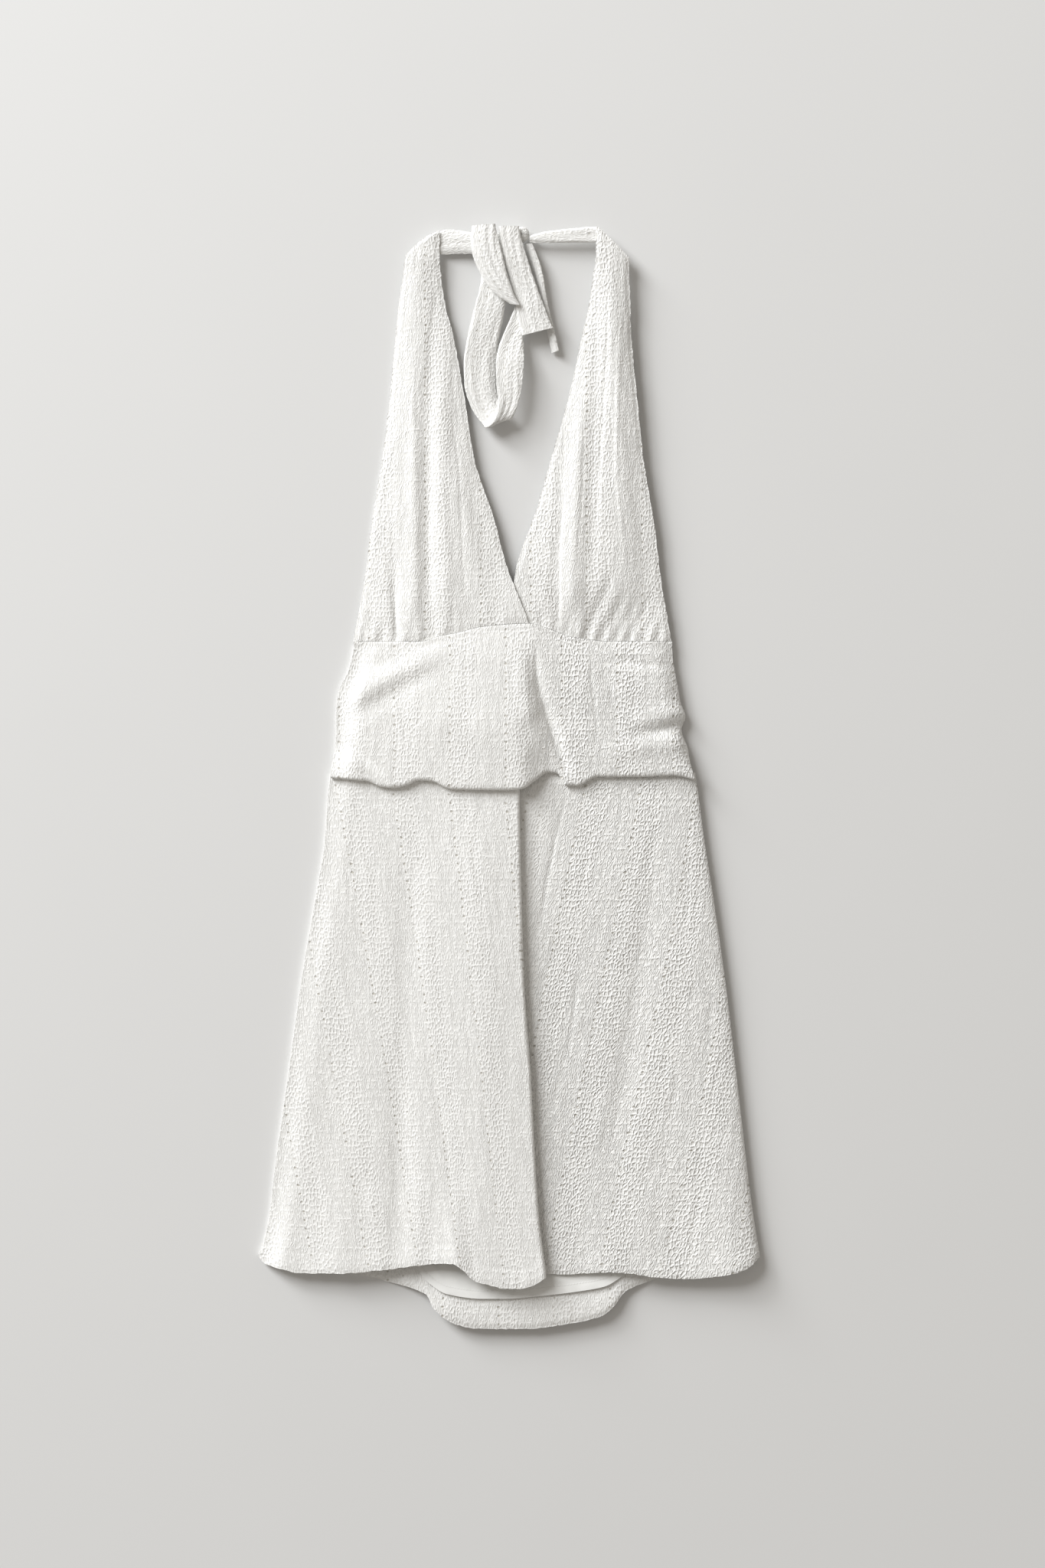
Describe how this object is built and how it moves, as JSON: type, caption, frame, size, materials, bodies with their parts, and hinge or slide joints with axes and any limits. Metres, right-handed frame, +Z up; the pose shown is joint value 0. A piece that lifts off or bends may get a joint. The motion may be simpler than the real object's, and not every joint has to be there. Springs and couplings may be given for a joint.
{
  "type": "halter dress",
  "caption": "Short halter dress in crinkled eyelet cotton, laid flat: deep V cups, slack midriff band, flared skirt with a knife fold, neck ties in a half bow.",
  "frame": {"origin": "middle of the dress's length and width, on the surface it lies on", "axes": "+X to the right as seen from above, +Y up the dress towards the neck, +Z up from the surface"},
  "size_m": [0.4505, 0.991, 0.0231],
  "materials": {
    "eyelet_cloth": "matt crinkled cotton with rows of eyelets",
    "tie_cloth": "matt crinkled cotton, flat tube",
    "lining_cloth": "smooth matt jersey"
  },
  "bodies": {
    "root": {"cup_left": "eyelet_cloth", "cup_right": "eyelet_cloth", "midriff_front": "eyelet_cloth", "midriff_back": "eyelet_cloth", "skirt_front": "eyelet_cloth", "skirt_back": "eyelet_cloth", "skirt_lining": "lining_cloth", "neck_strap_left": "tie_cloth", "neck_strap_right": "tie_cloth", "tie_knot": "tie_cloth", "bow_loop": "tie_cloth", "tie_band_over": "tie_cloth", "tie_band_under": "tie_cloth", "tie_band_behind": "tie_cloth"}
  },
  "joints": []
}
